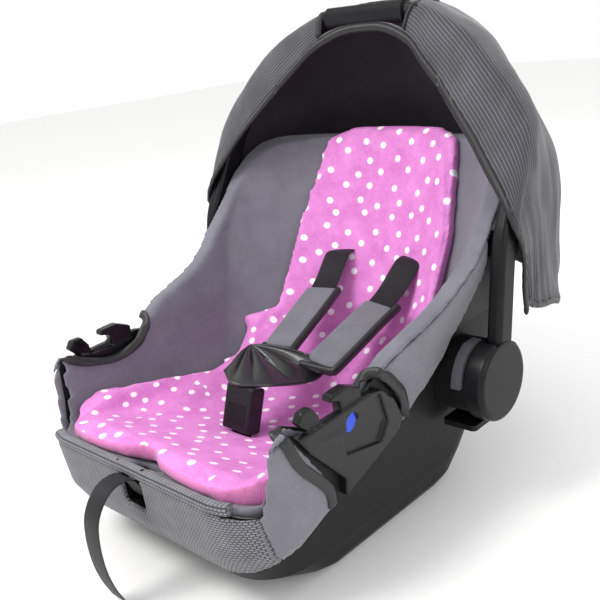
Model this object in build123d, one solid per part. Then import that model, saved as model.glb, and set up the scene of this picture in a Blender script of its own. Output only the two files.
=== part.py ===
from build123d import *
import os
from math import atan2, cos, degrees, radians, sin, sqrt, tan

# Infant car seat with a swinging carry handle.
# Millimetres, +Z up, feet end towards -Y, head end towards +Y, base standing on z = 0.
# Lengths along Y are written from the seat's own datum, and save() centres the object on Y = 0.

# ---------------------------------------------------------------- driving dimensions
SHELL_HALF_WIDTH = 202.0      # widest outside half-width of the moulded shell
BASE_HALF_WIDTH = 145.0       # half-width of the flat base
TOE_Y = -250.0                # front face of the shell at its fullest
HEAD_Y = 256.0                # back of the shell at the headrest
HEAD_Z = 374.0                # height of the cover's rim round the headrest
NOTCH_Z = 178.0               # floor of the belt-guide notch in the side rims
LIP_Z = 130.0                 # height of the seat's front edge
SHELL_WALL = 4.0
COVER_THICK = 6.0
SKIN_GAP = 0.3                # clearance between skins that lie on one another
LINER_THICK = 14.0
HUB_Y = 60.0                  # handle hinge axis
HUB_Z = 150.0
HUB_RADIUS = 44.0
HUB_PLATE = 20.0              # thickness of the handle's hub cover
HUB_GAP = 1.0                 # running gap between hub housing and hub cover
PIN_RADIUS = 9.0
PIN_CLEARANCE = 0.05
HANDLE_TOP_Y = 180.0          # centre of the grip
HANDLE_TOP_Z = 521.0
ARM_WIDE = 28.0               # arm size across the plane of the bow
ARM_THICK = 17.0
GRIP_LENGTH = 112.0
GRIP_WALL = 4.0
WEB_WIDE = 38.0               # harness webbing
WEB_THICK = 2.0
PAD_WIDE = 46.0
PAD_THICK = 13.0
PAD_LONG = 104.0
STRAP_X = 56.0                # half-spacing of the shoulder straps at their slots
STRAP_Y = 146.0
STRAP_Z = 236.0
HOOD_WALL = 3.0
BUTTON_TRAVEL = 4.0

HUB_FACE_X = SHELL_HALF_WIDTH + COVER_THICK + 1.5   # outer face of the fixed hub housing
HUB_OUT_X = HUB_FACE_X + HUB_GAP + HUB_PLATE
SKIRT_BACK_Y = HEAD_Y + 62.0   # furthest point of the canopy behind the headrest
TAIL_FRONT_Y = TOE_Y - 56.0    # furthest point of the adjuster strap's loose end
Y_MID = (TAIL_FRONT_Y + SKIRT_BACK_Y) / 2
FAR = 700.0                   # reach of the cutting solids


def save(name, shape):
    solids = shape.solids()
    body = solids[0] if len(solids) == 1 else Compound(list(solids))
    export_step(body.moved(Location((0, -Y_MID, 0))), f"parts/{name}.step")


def sides(name, make):
    right = make()
    save(name + "_right", right)
    save(name + "_left", right.mirror(Plane.YZ))


def side_solid(points, x_low, x_high, smooth=False):
    # a closed outline drawn in side view (y, z), carried across from x_low to x_high
    with BuildSketch(Plane.YZ.offset(x_low)) as outline:
        with BuildLine():
            if smooth:
                Spline(*points, periodic=True)
            else:
                Polyline(*points, close=True)
        make_face()
    return extrude(outline.sketch, x_high - x_low)


# ---------------------------------------------------------------- outside form of the shell
# (height, inset from the widest half-width, front, back, front corner, back corner)
BASE_INSET = SHELL_HALF_WIDTH - BASE_HALF_WIDTH
OUTSIDE = [
    (0.0, BASE_INSET + 7, TOE_Y + 92, 112.0, 44.0, 60.0),
    (10.0, BASE_INSET, TOE_Y + 72, 122.0, 48.0, 64.0),
    (34.0, BASE_INSET - 7, TOE_Y + 27, 138.0, 52.0, 70.0),
    (75.0, 42.0, TOE_Y + 5, 165.0, 54.0, 78.0),
    (130.0, 34.0, TOE_Y, 196.0, 56.0, 88.0),
    (200.0, 25.0, TOE_Y + 6, 226.0, 60.0, 98.0),
    (272.0, 2.0, TOE_Y + 20, HEAD_Y - 8, 66.0, 108.0),
    (330.0, 0.0, TOE_Y + 34, HEAD_Y - 1, 70.0, 112.0),
    (HEAD_Z + 16, 12.0, TOE_Y + 40, HEAD_Y, 72.0, 100.0),
]


def rounded_slice(z, half, front, back, r_front, r_back):
    with BuildSketch(Plane.XY.offset(z)) as face:
        with BuildLine():
            s = 1 - sqrt(0.5)
            Line((-half + r_front, front), (half - r_front, front))
            ThreePointArc((half - r_front, front), (half - s * r_front, front + s * r_front), (half, front + r_front))
            Line((half, front + r_front), (half, back - r_back))
            ThreePointArc((half, back - r_back), (half - s * r_back, back - s * r_back), (half - r_back, back))
            Line((half - r_back, back), (-half + r_back, back))
            ThreePointArc((-half + r_back, back), (-half + s * r_back, back - s * r_back), (-half, back - r_back))
            Line((-half, back - r_back), (-half, front + r_front))
            ThreePointArc((-half, front + r_front), (-half + s * r_front, front + s * r_front), (-half + r_front, front))
        make_face()
    return face.sketch


def outside(grow):
    # the shell's outside form, grown or shrunk all round, with its floor moved as far
    slices = []
    for z, inset, front, back, r_front, r_back in OUTSIDE:
        low = z - grow if z < 20 else z
        slices.append(rounded_slice(low, SHELL_HALF_WIDTH - inset + grow, front - grow, back + grow,
                                    r_front + grow, r_back + grow))
    return loft(slices, ruled=True)


# ---------------------------------------------------------------- hollow of the seat
# (height, half-width, front, back at the middle, how far the back wall comes forward at the sides)
HOLLOW = [
    (LIP_Z - 56, 78.0, -72.0, 34.0, 34.0),
    (LIP_Z - 46, 112.0, -120.0, 62.0, 58.0),
    (LIP_Z - 24, 142.0, -190.0, 96.0, 84.0),
    (LIP_Z, 154.0, TOE_Y + 4, 120.0, 104.0),
    (LIP_Z + 18, 158.0, TOE_Y - 40, 134.0, 112.0),
    (200.0, 164.0, TOE_Y - 60, 166.0, 122.0),
    (272.0, 184.0, TOE_Y - 60, 194.0, 120.0),
    (330.0, 186.0, TOE_Y - 60, 214.0, 104.0),
    (HEAD_Z + 16, 180.0, TOE_Y - 60, HEAD_Y - 24, 80.0),
]
HOLLOW_CORNER = 22.0


def hollow_slice(z, half, front, back, sag):
    r = HOLLOW_CORNER
    s = 1 - sqrt(0.5)
    with BuildSketch(Plane.XY.offset(z)) as face:
        with BuildLine():
            Line((-half + r, front), (half - r, front))
            ThreePointArc((half - r, front), (half - s * r, front + s * r), (half, front + r))
            Line((half, front + r), (half, back - sag))
            ThreePointArc((half, back - sag), (0, back), (-half, back - sag))
            Line((-half, back - sag), (-half, front + r))
            ThreePointArc((-half, front + r), (-half + s * r, front + s * r), (-half + r, front))
        make_face()
    return face.sketch


def hollow(grow):
    # the space that the child sits in, grown outwards into the walls
    slices = []
    for z, half, front, back, sag in HOLLOW:
        low = z - grow if z <= LIP_Z else z
        slices.append(hollow_slice(low, half + grow, front - grow, back + grow, sag))
    return loft(slices, ruled=True)


# ---------------------------------------------------------------- lines seen from the side
NOTCH_FRONT_Y = -190.0
NOTCH_REAR_Y = -104.0
RIM = [
    (TOE_Y - 60, LIP_Z + 2), (TOE_Y - 4, LIP_Z + 14), (TOE_Y + 26, NOTCH_Z + 4), (NOTCH_FRONT_Y - 12, NOTCH_Z + 19),
    (NOTCH_FRONT_Y + 6, NOTCH_Z + 10), (NOTCH_FRONT_Y + 26, NOTCH_Z), (NOTCH_REAR_Y - 18, NOTCH_Z),
    (NOTCH_REAR_Y + 4, NOTCH_Z + 12), (NOTCH_REAR_Y + 18, NOTCH_Z + 26), (-40.0, 226.0), (12.0, 244.0), (52.0, 273.0),
    (90.0, 310.0), (128.0, 350.0), (160.0, HEAD_Z - 5), (215.0, HEAD_Z), (HEAD_Y + 80, HEAD_Z),
]


def above_rim(drop):
    # everything above the rim line, lowered by drop
    with BuildSketch(Plane.YZ.offset(-FAR / 2)) as outline:
        with BuildLine():
            curve = Spline(*[(y, z - drop) for y, z in RIM])
            Polyline(curve @ 1, ((curve @ 1).X, FAR), ((curve @ 0).X, FAR), curve @ 0)
        make_face()
    return extrude(outline.sketch, FAR)


# lower edge of the cover's outer flap: front, belt-guide cut-out, hub cut-out, round the head
FLAP_LOW = [
    (TOE_Y - 40, 34.0), (TOE_Y + 20, 52.0), (TOE_Y + 42, 66.0), (TOE_Y + 80, 80.0), (TOE_Y + 112, 94.0),
    (TOE_Y + 205, 131.0), (21.0, 172.0), (54.0, 207.0), (78.0, 252.0), (82.0, 290.0), (100.0, 306.0),
    (126.0, 300.0), (HEAD_Y + 60, HEAD_Z - 70),
]
# cut-out of the flap round the belt guide
GUIDE_CUT = [
    (NOTCH_FRONT_Y - 18, NOTCH_Z + 40), (NOTCH_FRONT_Y - 18, NOTCH_Z + 20), (TOE_Y + 103, 114.0), (TOE_Y + 110, 84.0),
    (TOE_Y + 206, 126.0), (TOE_Y + 210, 146.0), (TOE_Y + 196, 174.0), (TOE_Y + 172, 196.0),
    (NOTCH_REAR_Y + 4, NOTCH_Z + 36),
]


def below_flap():
    points = [(TOE_Y - 40, -FAR)] + FLAP_LOW + [(HEAD_Y + 60, -FAR)]
    return side_solid(points, -FAR / 2, FAR / 2)


def guide_cut(x_low, x_high):
    return side_solid(GUIDE_CUT, x_low, x_high)


# ---------------------------------------------------------------- shell, foam and base
RIM_TUCK = 7.0                # how far the shell's edge sits below the cover's rim
FOAM_TUCK = 12.0
SLOT_HIGH = 8.0
SLOT_WIDE = WEB_WIDE + 4


def strap_slots():
    # slots through every layer of the backrest, one for each shoulder strap
    slot = Box(SLOT_WIDE, 160, SLOT_HIGH)
    return Pos(-STRAP_X, STRAP_Y + 50, STRAP_Z) * slot + Pos(STRAP_X, STRAP_Y + 50, STRAP_Z) * slot


ADJUSTER = (46.0, 40.0, 22.0)  # housing of the strap adjuster, under the seat's front edge
ADJUSTER_AT = (0.0, TOE_Y + 27.0, LIP_Z - 36.0)
LEVER = (30.0, 15.0, 4.0)      # press plate of the adjuster
LEVER_BACK = -9.0              # how far in front of the housing's middle it sits
LEVER_TRAVEL = 3.0


def adjuster_pocket():
    # the space cut in the foam and cover for the adjuster, its press plate and its strap's way out
    wide, deep, high = (size + 2 * SKIN_GAP + 1 for size in ADJUSTER)
    pocket = Pos(*ADJUSTER_AT) * Box(wide, deep, high)
    mouth = Pos(0, TOE_Y, ADJUSTER_AT[2] + 16) * Box(TAIL_WIDE + 6, 40, 42)
    well = Pos(0, ADJUSTER_AT[1] + LEVER_BACK, ADJUSTER_AT[2] + 30) * Box(LEVER[0] + 4, LEVER[1] + 2, 60)
    return pocket + mouth + well


CROTCH_Y = -105.0
CROTCH_SLOT = 9.0


def crotch_slot():
    return Pos(0, CROTCH_Y, LIP_Z - 60) * Box(WEB_WIDE + 4, CROTCH_SLOT, 160)


def across(x, radius, length):
    return Pos(x, HUB_Y, HUB_Z) * Rot(0, 90, 0) * Cylinder(radius, length)


PIN_HEAD = (14.0, 4.0)        # radius and thickness of the hub pin's head


def shell_tub():
    tub = outside(0) - outside(-SHELL_WALL) - above_rim(RIM_TUCK) - hollow(COVER_THICK + SKIN_GAP)
    tub -= strap_slots()
    tub -= adjuster_pocket()
    tub -= rear_slot()
    for pad in base_pads(SKIN_GAP):
        tub -= pad
    return tub


def shell_foam():
    foam = outside(-SHELL_WALL - SKIN_GAP) - hollow(COVER_THICK + SKIN_GAP) - above_rim(FOAM_TUCK)
    foam -= strap_slots()
    foam -= crotch_slot()
    foam -= adjuster_pocket()
    foam -= rear_slot()
    return foam.solids().sort_by(SortBy.VOLUME)[-1]


BASE_PAD = (34.0, 60.0, 3.0)


def base_pads(gap=0.0):
    # four rubber pads let into the corners of the flat base
    pads = []
    for x in (-1, 1):
        for y in (TOE_Y + 140, 60.0):
            pad = Box(BASE_PAD[0] + 2 * gap, BASE_PAD[1] + 2 * gap, BASE_PAD[2] + gap)
            pad = fillet(pad.edges().filter_by(Axis.Z), 10)
            pads.append(Pos(x * (BASE_HALF_WIDTH - 42), y, (BASE_PAD[2] + gap) / 2) * pad)
    return pads


# ---------------------------------------------------------------- cover, sewn from panels
APRON_SEAM_X = 158.0


def cover_lining():
    # the panel that lines the seat's hollow
    lining = hollow(COVER_THICK) - hollow(0) - above_rim(0)
    lining &= outside(-SHELL_WALL - SKIN_GAP)
    lining -= strap_slots()
    lining -= crotch_slot()
    lining -= adjuster_pocket()
    return lining.solids().sort_by(SortBy.VOLUME)[-1]


def cover_rims():
    # the padded roll over the top edge of shell and foam: round the head, and one at each front corner
    band = outside(COVER_THICK) - hollow(COVER_THICK + SKIN_GAP) - above_rim(0)
    band &= above_rim(RIM_TUCK - SKIN_GAP)
    band -= guide_cut(-FAR, FAR)
    pieces = sorted(band.solids(), key=lambda solid: -solid.volume)
    return pieces[0], sorted(pieces[1:3], key=lambda solid: solid.center().X)


def cover_wrap():
    # the outer panels, from the rim down to the flap's lower edge
    wrap = outside(COVER_THICK) - outside(SKIN_GAP) - above_rim(RIM_TUCK) - hollow(COVER_THICK + SKIN_GAP)
    return wrap - below_flap() - adjuster_pocket() - strap_slots()


def front_zone(length):
    return Pos(0, TOE_Y, 0) * Box(2 * APRON_SEAM_X, length, FAR)


def cover_panels():
    wrap = cover_wrap()
    apron = wrap & front_zone(110)
    rest = wrap - front_zone(300) - guide_cut(-FAR, FAR)
    pieces = sorted(rest.solids(), key=lambda solid: -solid.volume)
    flap = pieces[0]
    corners = sorted(pieces[1:3], key=lambda solid: solid.center().X)
    return apron.solids().sort_by(SortBy.VOLUME)[-1], flap, corners


# ---------------------------------------------------------------- liner
LINER_GAP = 1.0               # the liner lies this far off the lining
LINER_SEAT = [                # how high the liner's edge climbs the side walls (y, z)
    (TOE_Y - 60, 150.0), (-170.0, 152.0), (-120.0, 138.0), (-20.0, 116.0), (24.0, 124.0), (46.0, 150.0),
]
LINER_BACK = [                # half-outline of the back part seen from the front (x, z)
    (170.0, 0.0), (170.0, 160.0), (117.0, 172.0), (118.0, 270.0), (108.0, 330.0), (98.0, HEAD_Z + 2), (66.0, HEAD_Z + 15),
]


LINER_SEAT_PLAN = [           # half-outline of the seat part seen from above, with its two front lobes (x, y)
    (170.0, HEAD_Y), (170.0, TOE_Y + 100), (152.0, TOE_Y + 45), (122.0, TOE_Y + 12), (78.0, TOE_Y + 2),
    (28.0, TOE_Y + 10), (0.0, TOE_Y + 26),
]


def prism(plane, half):
    # a prism with a mirror-symmetric outline, through everything
    whole = half + [(-x, y) for x, y in reversed(half) if x > 0]
    with BuildSketch(plane) as outline:
        with BuildLine():
            Polyline(*whole, close=True)
        make_face()
    return extrude(outline.sketch, FAR, both=True)


def liner_pad():
    pad = hollow(-LINER_GAP) - hollow(-LINER_GAP - LINER_THICK)
    pad -= side_solid(LINER_SEAT + [(46.0, FAR), (TOE_Y - 60, FAR)], -FAR / 2, FAR / 2)
    pad &= outside(-SHELL_WALL - SKIN_GAP)
    pad &= prism(Plane.XZ, LINER_BACK)
    pad &= prism(Plane.XY, LINER_SEAT_PLAN)
    pad -= strap_slots()
    pad -= crotch_slot()
    return pad.solids().sort_by(SortBy.VOLUME)[-1]


# ---------------------------------------------------------------- belt guides
GUIDE_PROUD = COVER_THICK + 4
GUIDE_IN_X = 170.0            # inner end of the guide's saddle
GUIDE_PLATE = [
    (NOTCH_FRONT_Y - 8, NOTCH_Z + 10), (NOTCH_FRONT_Y + 8, NOTCH_Z - 12), (TOE_Y + 116, 116.0), (TOE_Y + 118, 96.0),
    (TOE_Y + 198, 131.0), (TOE_Y + 202, 146.0), (TOE_Y + 188, 170.0), (NOTCH_REAR_Y + 22, NOTCH_Z + 10),
    (NOTCH_REAR_Y + 4, NOTCH_Z + 14),
]
GUIDE_RECESS = [
    (TOE_Y + 108, 178.0), (TOE_Y + 116, 142.0), (TOE_Y + 168, 131.0), (TOE_Y + 178, 150.0), (TOE_Y + 164, 186.0),
]


def belt_guide():
    low = NOTCH_Z - RIM_TUCK
    out = shell_x(NOTCH_Z) + GUIDE_PROUD
    front = NOTCH_FRONT_Y
    rear = NOTCH_REAR_Y
    plate = side_solid(GUIDE_PLATE, 120, SHELL_HALF_WIDTH + 40) & outside(GUIDE_PROUD)
    plate -= outside(SKIN_GAP)
    plate -= side_solid(GUIDE_RECESS, 120, SHELL_HALF_WIDTH + 40) - outside(GUIDE_PROUD - 4)
    saddle = side_solid([(front + 10, low - 4), (rear - 6, low - 4), (rear - 3, low + 16), (rear - 22, low + 15),
                         (front + 26, low + 15), (front + 10, low + 19)], GUIDE_IN_X, out)
    knob = side_solid([(front + 14, low + 10), (front + 6, low + 19), (front - 4, low + 29), (front + 2, low + 38),
                       (front + 14, low + 38), (front + 22, low + 27), (front + 26, low + 11)], GUIDE_IN_X + 3, out - 2)
    hook = side_solid([(rear - 34, low + 12), (rear - 36, low + 29), (rear - 48, low + 32), (rear - 46, low + 38),
                       (rear - 24, low + 39), (rear - 6, low + 31), (rear - 6, low + 21), (rear - 12, low + 11)],
                      GUIDE_IN_X + 1, out - 1)
    guide = (saddle & above_rim(RIM_TUCK - SKIN_GAP)) + knob + hook + plate
    guide -= mark_prism(SKIN_GAP) - outside(GUIDE_PROUD - 5 - SKIN_GAP)
    return guide.solids().sort_by(SortBy.VOLUME)[-1]


def mark_prism(gap):
    return Pos(120, TOE_Y + 123, NOTCH_Z - 5) * Rot(0, 90, 0) * extrude(Ellipse(10 + gap, 8 + gap), 120)


def belt_mark():
    # the oval mark set in the guide's recess
    mark = (mark_prism(0) & outside(GUIDE_PROUD - 3)) - outside(GUIDE_PROUD - 5)
    return mark.solids().sort_by(SortBy.VOLUME)[-1]


BIND_RADIUS = 3.2


def shell_x(z):
    # half-width of the shell's outside at a height
    for low, high in zip(OUTSIDE, OUTSIDE[1:]):
        if low[0] <= z <= high[0]:
            part = (z - low[0]) / (high[0] - low[0])
            return SHELL_HALF_WIDTH - low[1] - part * (high[1] - low[1])
    return SHELL_HALF_WIDTH


def bend_radii(route, share):
    radii = []
    for a, b, c in zip(route, route[1:], route[2:]):
        before = Vector(*b) - Vector(*a)
        after = Vector(*c) - Vector(*b)
        turn = radians(before.get_angle(after))
        radii.append(share * min(before.length, after.length) / tan(turn / 2))
    return radii


def tube(route, radius, share):
    path = FilletPolyline(*route, radius=bend_radii(route, share))
    start = Plane(origin=path @ 0, z_dir=path % 0)
    return sweep(start * Circle(radius), path=path)


def cover_binding():
    # piped tape round the cut-out: up the front edge, over the rim, along the notch inside, down the rear arch
    off = COVER_THICK + BIND_RADIUS + 1.2
    front = NOTCH_FRONT_Y
    rear = NOTCH_REAR_Y
    inside_x = 154.0
    route = [
        (shell_x(94.0) + off, TOE_Y + 108, 94.0), (shell_x(118.0) + off, TOE_Y + 99, 122.0),
        (shell_x(170.0) + off, front - 10, 172.0), (shell_x(200.0) + 4, front - 22, NOTCH_Z + 30),
        (inside_x, front - 10, NOTCH_Z + 22), (inside_x, front + 24, NOTCH_Z + 5), (inside_x, rear - 18, NOTCH_Z + 5),
        (inside_x, rear + 8, NOTCH_Z + 33), (shell_x(205.0) + off + 2, rear + 14, NOTCH_Z + 46),
        (shell_x(195.0) + off, TOE_Y + 180, 198.0), (shell_x(172.0) + off, TOE_Y + 204, 174.0),
        (shell_x(144.0) + off, TOE_Y + 214, 146.0), (shell_x(132.0) + off, TOE_Y + 207, 132.0),
    ]
    return tube(route, BIND_RADIUS, 0.42)


# ---------------------------------------------------------------- harness
STRAP_KNEE = Vector(STRAP_X, STRAP_Y, STRAP_Z)        # where the strap leaves its slot
PAD_HIGH = Vector(STRAP_X - 7, STRAP_Y - 44, STRAP_Z - 40)
PAD_LOW = Vector(STRAP_X - 22, STRAP_Y - 146, STRAP_Z - 84)


def web_run(start, end, width, thick, begin, length):
    # a flat run of webbing from start towards end, its width kept level
    along = (end - start).normalized()
    side = Vector(1, 0, 0) - along * along.X
    plane = Plane(origin=start + along * begin, x_dir=side, z_dir=along)
    return extrude(plane * Rectangle(width, thick), length)


def knuckle(point, width, thick):
    return Pos(*point) * Rot(0, 90, 0) * Cylinder(thick / 2, width)


def shoulder_strap():
    # from behind the shell, through the slot and down under the pad to the joiner
    back = Vector(STRAP_X, HEAD_Y + 4, STRAP_Z)
    strap = web_run(back, STRAP_KNEE, WEB_WIDE, WEB_THICK, 0, (back - STRAP_KNEE).length)
    strap += knuckle(STRAP_KNEE, WEB_WIDE, WEB_THICK)
    strap += web_run(STRAP_KNEE, PAD_HIGH, WEB_WIDE, WEB_THICK, 0, (PAD_HIGH - STRAP_KNEE).length)
    strap += knuckle(PAD_HIGH, WEB_WIDE, WEB_THICK)
    strap += web_run(PAD_HIGH, PAD_LOW, WEB_WIDE, WEB_THICK, 0, (PAD_LOW - PAD_HIGH).length + 4)
    return strap.solids().sort_by(SortBy.VOLUME)[-1]


def shoulder_pad():
    along = (PAD_LOW - PAD_HIGH).normalized()
    side = Vector(1, 0, 0) - along * along.X
    plane = Plane(origin=PAD_HIGH + along * 4, x_dir=side, z_dir=along)
    pad = extrude(plane * RectangleRounded(PAD_WIDE, PAD_THICK, 5), PAD_LONG)
    return pad - extrude(plane * Rectangle(WEB_WIDE + 1, WEB_THICK + 1), PAD_LONG)


JOINER_PLANE = Plane(origin=(0, -58.0, 158.0), x_dir=(1, 0, 0), z_dir=(0.0, 0.06, 1.0))
JOINER_THICK = 9.0
JOINER_OUTLINE = [
    (-52.0, 44.0), (-46.0, 12.0), (-26.0, -40.0), (0.0, -50.0), (26.0, -32.0), (52.0, 40.0), (30.0, 46.0), (8.0, 24.0),
    (-12.0, 26.0), (-30.0, 48.0),
]


def strap_joiner():
    # the pleated fan in which both straps end, above the buckle
    with BuildSketch(JOINER_PLANE) as fan:
        with BuildLine():
            Polyline(*JOINER_OUTLINE, close=True)
        make_face()
        fillet(fan.vertices(), 3)
    return extrude(fan.sketch, JOINER_THICK)


BUCKLE = (42.0, 50.0, 20.0)
BUCKLE_PLANE = Plane(origin=(0, -98.0, 130.0), x_dir=(1, 0, 0), z_dir=(0.0, -0.94, 0.34))
PUSH = (26.0, 20.0, 4.0)      # the red push panel of the buckle
PUSH_GAP = 0.3
PUSH_TRAVEL = 3.0


def buckle_body():
    body = fillet(Box(*BUCKLE).edges(), 3.0)
    body -= Pos(0, -6, BUCKLE[2] / 2) * Box(PUSH[0] + 2 * PUSH_GAP, PUSH[1] + 2 * PUSH_GAP,
                                          2 * (PUSH[2] + PUSH_TRAVEL + PUSH_GAP))
    body -= Pos(0, BUCKLE[1] / 2, -1) * Box(30, 26, 5)
    return BUCKLE_PLANE * body


def buckle_button():
    panel = Box(*PUSH)
    panel = fillet(panel.edges().filter_by(Axis.Z), 2.0)
    return BUCKLE_PLANE * Pos(0, -6, BUCKLE[2] / 2 - PUSH[2] / 2) * panel


def strap_tongues():
    # two flat steel tongues, side by side, that run from the joiner into the buckle's mouth
    tongues = []
    for side in (-1, 1):
        tongue = Box(13.6, 14, 2.4) - Pos(0, -2, 0) * Box(6, 6, 4)
        tongues.append(BUCKLE_PLANE * Pos(side * 7.2, BUCKLE[1] / 2 - 3, -1) * tongue)
    return tongues


def crotch_strap():
    top = BUCKLE_PLANE * Pos(0, -BUCKLE[1] / 2, 0)
    start = Vector(*top.position)
    end = Vector(0, CROTCH_Y, 20.0)
    return web_run(start, end, WEB_WIDE - 6, WEB_THICK, 0.5, (end - start).length - 8)


TAIL_WIDE = 25.0              # webbing of the front adjuster
TAIL_THICK = 1.8
TAIL_ROUTE = [                # loose end, seen from the side (y, z)
    (TOE_Y + 30, ADJUSTER_AT[2] - 2), (TOE_Y + 6, ADJUSTER_AT[2] - 1), (TOE_Y - 8, LIP_Z - 5), (TOE_Y - 26, LIP_Z - 3),
    (TOE_Y - 46, LIP_Z - 20), (TOE_Y - 55, LIP_Z - 50), (TOE_Y - 53, LIP_Z - 84), (TOE_Y - 40, 6.0),
]


def ribbon(points, width, thick):
    # flat webbing along a side-view route in the middle of the seat
    route = [Vector(0, y, z) for y, z in points]
    path = FilletPolyline(*route, radius=bend_radii(points_3d(points), 0.45))
    start = Plane(origin=path @ 0, x_dir=(1, 0, 0), z_dir=path % 0)
    return sweep(start * Rectangle(width, thick), path=path)


def points_3d(points):
    return [(0, y, z) for y, z in points]


def adjuster_tail():
    return ribbon(TAIL_ROUTE, TAIL_WIDE, TAIL_THICK)


def adjuster_housing():
    body = fillet(Box(*ADJUSTER).edges(), 2.5)
    body -= Pos(0, 0, -2.2) * Box(TAIL_WIDE + 2, 60, TAIL_THICK + 9.8)
    body -= Pos(0, LEVER_BACK, ADJUSTER[2] / 2) * Box(LEVER[0] + 0.6, LEVER[1] + 0.6, 2 * (LEVER[2] + LEVER_TRAVEL - 0.5))
    return Pos(*ADJUSTER_AT) * body


def adjuster_lever():
    lever = fillet(Box(*LEVER).edges().filter_by(Axis.Z), 2)
    return Pos(*ADJUSTER_AT) * Pos(0, LEVER_BACK, ADJUSTER[2] / 2 - LEVER[2] / 2 + 1) * lever


def yoke_plate():
    # flat metal splitter hung behind the shell: both shoulder straps hook on it
    plate = Box(150, 2.5, 34)
    plate = fillet(plate.edges().filter_by(Axis.Y), 8)
    for side in (-1, 1):
        plate -= Pos(side * STRAP_X, 0, 6) * Box(WEB_WIDE - 2, 10, 6)
    plate -= Pos(0, 0, -9) * Box(TAIL_WIDE + 2, 10, 5)
    return Pos(0, HEAD_Y + 5.5, STRAP_Z - 8) * plate


REAR_WEB = [                  # the adjuster's webbing, from the yoke down behind the shell and in through a slot (y, z)
    (HEAD_Y + 8.2, STRAP_Z - 12), (HEAD_Y + 8.2, STRAP_Z - 34), (HEAD_Y - 26, 166.0), (HEAD_Y - 46, 151.0),
    (HEAD_Y - 62, 150.0),
]


def rear_webbing():
    return ribbon(REAR_WEB, TAIL_WIDE, TAIL_THICK)


def rear_slot():
    return Pos(0, REAR_WEB[-1][0], REAR_WEB[-1][1]) * Box(TAIL_WIDE + 4, 60, 14)


# ---------------------------------------------------------------- hubs
HOUSING_RADIUS = 40.0
KEY_RADIUS = 46.0             # outer face of the release key
KEY_WALL = 12.0
KEY_X = (HUB_FACE_X - 14.0, HUB_FACE_X - 4.0)
KEY_Z = (HUB_Z + 2.0, HUB_Z + 42.0)


PIN_START_X = shell_x(HUB_Z + PIN_HEAD[0]) + 1.0


def ring(inner, outer, x_low, x_high):
    middle = (x_low + x_high) / 2
    return across(middle, outer, x_high - x_low) - across(middle, inner, x_high - x_low + 2)


def key_block(gap, travel):
    body = ring(KEY_RADIUS - KEY_WALL - gap, KEY_RADIUS + gap, KEY_X[0] - gap, KEY_X[1] + gap)
    height = KEY_Z[1] - KEY_Z[0] + 2 * gap
    zone = Pos(0, HUB_Y - 60, (KEY_Z[0] + KEY_Z[1]) / 2) * Box(FAR, 120, height)
    body = body & zone
    if travel:
        body += Pos(0, travel, 0) * body
        body += Pos(0, travel / 2, 0) * body
    return body


def hub_housing():
    # fixed barrel on the shell's side, with a lip below it and a pocket for the release key
    deep = 60.0
    barrel = across(HUB_FACE_X - deep / 2, HOUSING_RADIUS, deep)
    nose = Pos(HUB_FACE_X - deep / 2, HUB_Y - 20, HUB_Z - 4) * Box(deep, 36, 44)
    nose = fillet(nose.edges().filter_by(Axis.X), 8)
    lip = Pos(HUB_FACE_X - 20, HUB_Y + 6, HUB_Z - HUB_RADIUS - 6) * Box(40, 66, 6)
    lip = fillet(lip.edges().filter_by(Axis.Z), 5)
    web = Pos(HUB_FACE_X - 20, HUB_Y + 6, HUB_Z - HUB_RADIUS + 4) * Box(36, 8, 24)
    housing = barrel + nose + lip + web
    housing -= outside(SKIN_GAP)
    housing -= key_block(0.5, BUTTON_TRAVEL + 1)
    housing -= across(SHELL_HALF_WIDTH, PIN_RADIUS + PIN_CLEARANCE, 200)
    housing -= across(PIN_START_X, PIN_HEAD[0] + SKIN_GAP, 2 * (PIN_HEAD[1] + SKIN_GAP))
    return housing.solids().sort_by(SortBy.VOLUME)[-1]


def release_key():
    return key_block(0, 0).solids()[0]


def hub_pin():
    # steel pin: its head is held between shell and housing, its shank carries the hub cover
    end = HUB_FACE_X + HUB_GAP + HUB_PLATE - 5
    shank = across((PIN_START_X + end) / 2, PIN_RADIUS, end - PIN_START_X)
    return shank + across(PIN_START_X + PIN_HEAD[1] / 2, *PIN_HEAD)


def hub_cover():
    # round outer part of the hub, at the foot of the handle's arm
    inner_x = HUB_FACE_X + HUB_GAP
    cover = across(inner_x + HUB_PLATE / 2, HUB_RADIUS, HUB_PLATE)
    cover = fillet(cover.edges().filter_by(GeomType.CIRCLE).sort_by(Axis.X)[-1], 6)
    cover -= across(inner_x, PIN_RADIUS + PIN_CLEARANCE, 2 * (HUB_PLATE - 4))
    return cover - arm_root()


# ---------------------------------------------------------------- handle
ARM_FOOT_Z = HUB_Z + HUB_RADIUS - 14
KNEE = (SHELL_HALF_WIDTH + 16.5, HUB_Y + 28, HUB_Z + 137)
SHOULDER = (SHELL_HALF_WIDTH + 12.5, HANDLE_TOP_Y - 32, HANDLE_TOP_Z - 120)
CROWN = (SHELL_HALF_WIDTH - 62, HANDLE_TOP_Y - 8, HANDLE_TOP_Z - 46)
TOP_CORNER = (62.0, HANDLE_TOP_Y, HANDLE_TOP_Z)


def arm_root():
    # the slot in the hub cover that the arm's foot fills
    inner_x = HUB_FACE_X + HUB_GAP
    return Pos(inner_x + HUB_PLATE / 2, HUB_Y + 10, HUB_Z + HUB_RADIUS) * Box(
        ARM_THICK + 1, ARM_WIDE + 12, 2 * (HUB_RADIUS - ARM_FOOT_Z + HUB_Z))


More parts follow.
